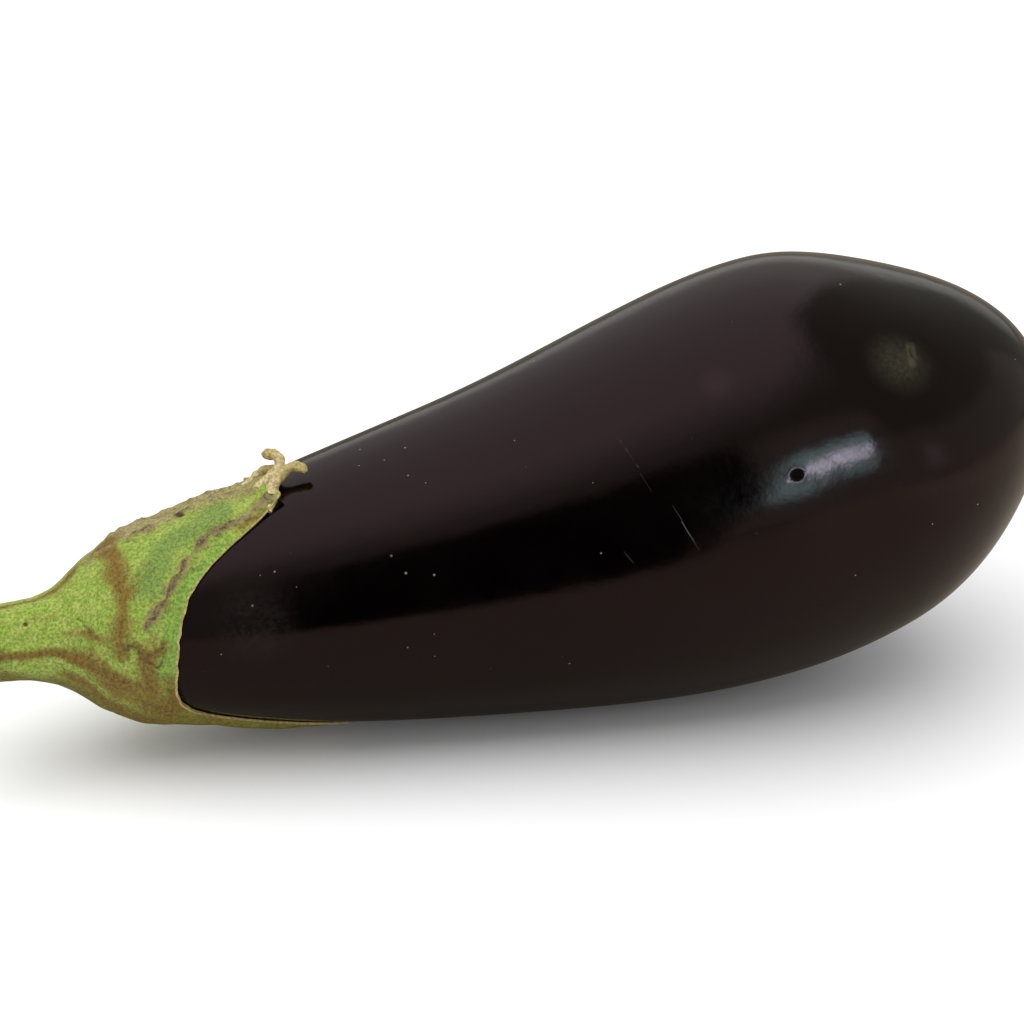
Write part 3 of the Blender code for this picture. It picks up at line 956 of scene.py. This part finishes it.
# What a user would change in the studio. Lengths are in metres, directions in degrees: 0 is the front, 90 the
# blossom end, and heights count up from the horizon.
studio = {
    "floor": {
        "size": 8.0, "white": 0.9,
        "tint": (1.0, 0.87, 0.70), "left": 0.31, "right": 0.52, "behind": 0.45,  # as the gloss sees it
        "rightBy": 0.3, "behindBy": 0.1, "fade": (0.6, 1.5),
    },
    "flag": {
        "middle": (-0.05, 0.19), "left": -0.15, "right": -0.006, "lean": -0.22, "front": -0.25,
        "height": 0.30, "slope": 2.3, "shoulder": -0.05,
        "softLeft": 0.05, "softRight": 0.02, "softTop": 0.04, "softFoot": 0.03,
    },
    "box": {  # a broad softbox over the left and the back, cut off by two planes on the right
        "azimuth": 200, "elevation": 55, "from": 0.28, "full": 0.80, "tint": (0.88, 0.78, 0.86),
        "edges": ((1, -0.22, -0.04), (1, -0.70, 0.13)), "edgeSoftness": 0.07, "low": 0.1, "rise": 0.62,
    },
    "panels": [  # azimuth and half width, elevation and half height, softness, strength, tint
        (52, 62, 5, 24, 4, 0.17, "#fff8f0"),
        (1, 5.5, 20, 10.5, 2.8, 3.7, "#aceeea"),
        (4.0, 1.6, 20.5, 4.0, 1.5, 14.0, "#d8e8ff"),
        (2, 14, 38, 6, 5, 0.22, "#fff4ec"),
        (36, 5, 12, 7, 4, 0.35, "#ffffff"),
        (162, 30, 2, 8, 6, 0.35, "#ffffff"),
    ],
    "roomTint": (0.25, 0.25, 0.21),
    "ambient": 0.80,
    "backdrop": 1.05,
    "overhead": {"place": (-0.12, 0.0, 1.2), "size": 1.7, "power": 14.5},
    "camera": {
        "azimuth": -17, "elevation": 27, "distance": 0.8, "target": (0.0032, 0.0021, 0.0423), "lens": 136.5,
    },
}


def makeFloor():
    look = studio["floor"]
    bpy.ops.object.select_all(action="DESELECT")
    bpy.ops.mesh.primitive_plane_add(size=look["size"])
    floor = bpy.context.object
    floor.name = "paleFloor"
    material, tree, shader = newMaterial("palePaper", {"Roughness": 1.0, "Specular IOR Level": 0.0})
    path = addNode(tree, "LightPath").outputs
    place = addNode(tree, "TexCoord").outputs["Object"]
    across = addNode(tree, "SeparateXYZ", None, {"Vector": place})
    dim = addNode(tree, "MapRange", None, {
        "Value": across, "From Min": 0.0, "From Max": look["rightBy"],
        "To Min": look["left"], "To Max": look["right"],
    })
    behind = addNode(tree, "MapRange", None, {
        "Value": across.outputs["Y"], "From Min": 0.0, "From Max": look["behindBy"],
        "To Min": 1.0, "To Max": look["behind"],
    })
    dim = addNode(tree, "Math", "MULTIPLY", {0: dim, 1: behind})
    dim = addNode(tree, "VectorMath", "SCALE", {0: look["tint"], "Scale": dim})
    white = addNode(tree, "Value")
    white.outputs[0].default_value = look["white"]
    seen = addNode(tree, "MixRGB", None, {"Fac": path["Is Glossy Ray"], "Color1": white, "Color2": dim})
    # it melts into the white all round
    away = addNode(tree, "VectorMath", "LENGTH", {0: place})
    gone = addNode(tree, "MapRange", "SMOOTHSTEP", {
        "Value": away.outputs["Value"], "From Min": look["fade"][0], "From Max": look["fade"][1],
    })
    gone = addNode(tree, "Math", "MULTIPLY", {0: gone, 1: path["Is Camera Ray"]})
    alpha = addNode(tree, "Math", "SUBTRACT", {0: 1.0, 1: gone})
    tree.links.new(alpha.outputs[0], shader.inputs["Alpha"])
    tree.links.new(seen.outputs[0], shader.inputs["Base Color"])
    floor.data.materials.append(material)


def makeFlag():  # a soft-edged black card beside the camera, which only the gloss sees
    flag = studio["flag"]
    across, up = flag["middle"]
    bpy.ops.object.select_all(action="DESELECT")
    middle = (across, flag["front"], up)
    bpy.ops.mesh.primitive_plane_add(size=1, location=middle, rotation=(math.pi / 2, 0, 0))
    bpy.ops.object.transform_apply(location=True, rotation=True, scale=True)
    card = bpy.context.object
    card.name = "blackFlag"
    material, tree, shader = newMaterial("blackVelvet", {
        "Base Color": (0, 0, 0, 1), "Specular IOR Level": 0.0, "Roughness": 1.0,
    })
    place = addNode(tree, "SeparateXYZ", None, {"Vector": addNode(tree, "TexCoord").outputs["Object"]})
    past = addNode(tree, "Math", "SUBTRACT", {0: place, 1: flag["shoulder"]})
    past = addNode(tree, "Math", "MAXIMUM", {0: past, 1: 0.0})
    raised = addNode(tree, "Math", "MULTIPLY_ADD", {0: past, 1: flag["slope"], 2: place.outputs["Z"]})
    leaning = addNode(tree, "Math", "MULTIPLY_ADD", {0: place.outputs["Z"], 1: flag["lean"], 2: place})
    edges = (  # what is measured, where the card is solid, and where it has faded out
        (raised, flag["height"] - flag["softTop"], flag["height"] + flag["softTop"]),
        (place, flag["left"] + flag["softLeft"], flag["left"] - flag["softLeft"]),
        (leaning, flag["right"] - flag["softRight"], flag["right"] + flag["softRight"]),
        (place.outputs["Z"], flag["softFoot"], 0.0),
    )
    share = None
    for value, solid, clear in edges:
        edge = addNode(tree, "MapRange", "SMOOTHSTEP", {
            "Value": value, "From Min": clear, "From Max": solid,
        })
        share = edge if share is None else addNode(tree, "Math", "MULTIPLY", {0: share, 1: edge})
    tree.links.new(share.outputs[0], shader.inputs["Alpha"])
    card.data.materials.append(material)
    card.visible_camera = False
    card.visible_diffuse = False
    card.visible_shadow = False
    card.visible_transmission = False


def towards(azimuth, elevation):  # the direction to a place all round the object
    turn, tilt = math.radians(azimuth), math.radians(elevation)
    return Vector((math.sin(turn) * math.cos(tilt), -math.cos(turn) * math.cos(tilt), math.sin(tilt)))


def boxLight(tree, way):  # the light of the broad softbox and of the room, by direction
    box = studio["box"]
    height = addNode(tree, "SeparateXYZ", None, {"Vector": way}).outputs["Z"]
    centre = towards(box["azimuth"], box["elevation"])
    facing = addNode(tree, "VectorMath", "DOT_PRODUCT", {0: way, 1: centre})
    share = addNode(tree, "MapRange", "SMOOTHSTEP", {
        "Value": facing.outputs["Value"], "From Min": box["from"], "From Max": box["full"],
    })
    sides = []
    for plane in box["edges"]:
        sides.append(addNode(tree, "VectorMath", "DOT_PRODUCT", {0: way, 1: plane}).outputs["Value"])
    pastEdge = addNode(tree, "Math", "MINIMUM", {0: sides[0], 1: sides[1]})
    inside = addNode(tree, "MapRange", "SMOOTHSTEP", {
        "Value": pastEdge, "From Min": box["edgeSoftness"], "From Max": -box["edgeSoftness"],
    })
    share = addNode(tree, "Math", "MULTIPLY", {0: share, 1: inside})
    higher = addNode(tree, "Math", "MULTIPLY_ADD", {0: height, 1: box["rise"], 2: box["low"]})
    share = addNode(tree, "Math", "MULTIPLY", {0: share, 1: higher})
    light = addNode(tree, "VectorMath", "SCALE", {0: box["tint"], "Scale": share})
    return addNode(tree, "VectorMath", "ADD", {0: light, 1: studio["roomTint"]})


def panelShare(tree, angle, middle, half, soft, wrap):  # 1 where an angle is within a panel, 0 outside it
    away = addNode(tree, "Math", "SUBTRACT", {0: angle, 1: math.radians(middle)})
    if wrap:
        away = addNode(tree, "Math", "WRAP", {0: away, 1: math.pi, 2: -math.pi})
    away = addNode(tree, "Math", "ABSOLUTE", {0: away})
    return addNode(tree, "MapRange", "SMOOTHSTEP", {
        "Value": away, "From Min": math.radians(half + soft), "From Max": math.radians(half - soft),
    })


def makeWorld():  # white all round for the camera, and a dim studio with soft panels for the gloss
    world = bpy.data.worlds.new("studio")
    world.use_nodes = True
    bpy.context.scene.world = world
    tree = world.node_tree
    tree.nodes.clear()
    way = addNode(tree, "TexCoord").outputs["Generated"]
    direction = addNode(tree, "SeparateXYZ", None, {"Vector": way})
    back = addNode(tree, "Math", "MULTIPLY", {0: direction.outputs["Y"], 1: -1.0})
    azimuth = addNode(tree, "Math", "ARCTAN2", {0: direction.outputs["X"], 1: back})
    elevation = addNode(tree, "Math", "ARCSINE", {0: direction.outputs["Z"]})
    light = boxLight(tree, way)
    for turn, halfTurn, height, halfHeight, soft, strength, tint in studio["panels"]:
        share = addNode(tree, "Math", "MULTIPLY", {
            0: panelShare(tree, azimuth, turn, halfTurn, soft, True),
            1: panelShare(tree, elevation, height, halfHeight, soft, False),
        })
        colour = [part * strength for part in toLinear(tint)[:3]]
        panel = addNode(tree, "VectorMath", "SCALE", {0: colour, "Scale": share})
        light = addNode(tree, "VectorMath", "ADD", {0: light, 1: panel})
    path = addNode(tree, "LightPath").outputs
    ambient, backdrop = ((studio[name],) * 3 + (1,) for name in ("ambient", "backdrop"))
    seen = addNode(tree, "MixRGB", None, {"Fac": path["Is Glossy Ray"], "Color1": ambient, "Color2": light})
    seen = addNode(tree, "MixRGB", None, {"Fac": path["Is Camera Ray"], "Color1": seen, "Color2": backdrop})
    background = addNode(tree, "Background", None, {"Color": seen, "Strength": 1.0})
    addNode(tree, "OutputWorld", None, {"Surface": background})


def makeOverhead():
    look = studio["overhead"]
    bpy.ops.object.light_add(type="AREA", location=look["place"])
    lamp = bpy.context.object
    lamp.name = "overheadSoftbox"
    lamp.data.size = look["size"]
    lamp.data.energy = look["power"]
    lamp.visible_glossy = False
    lamp.visible_camera = False


def makeCamera():
    look = studio["camera"]
    away = towards(look["azimuth"], look["elevation"])
    facing = (-away).to_track_quat("-Z", "Y").to_euler()
    bpy.ops.object.camera_add(location=Vector(look["target"]) + away * look["distance"], rotation=facing)
    camera = bpy.context.object
    camera.data.lens = look["lens"]
    camera.data.sensor_width = 36
    camera.data.dof.use_dof = False
    bpy.context.scene.camera = camera


makeFloor()
makeFlag()
makeWorld()
makeOverhead()
makeCamera()
bpy.context.scene.view_settings.view_transform = "Standard"
print("studio: floor, flag, world, softbox and camera")
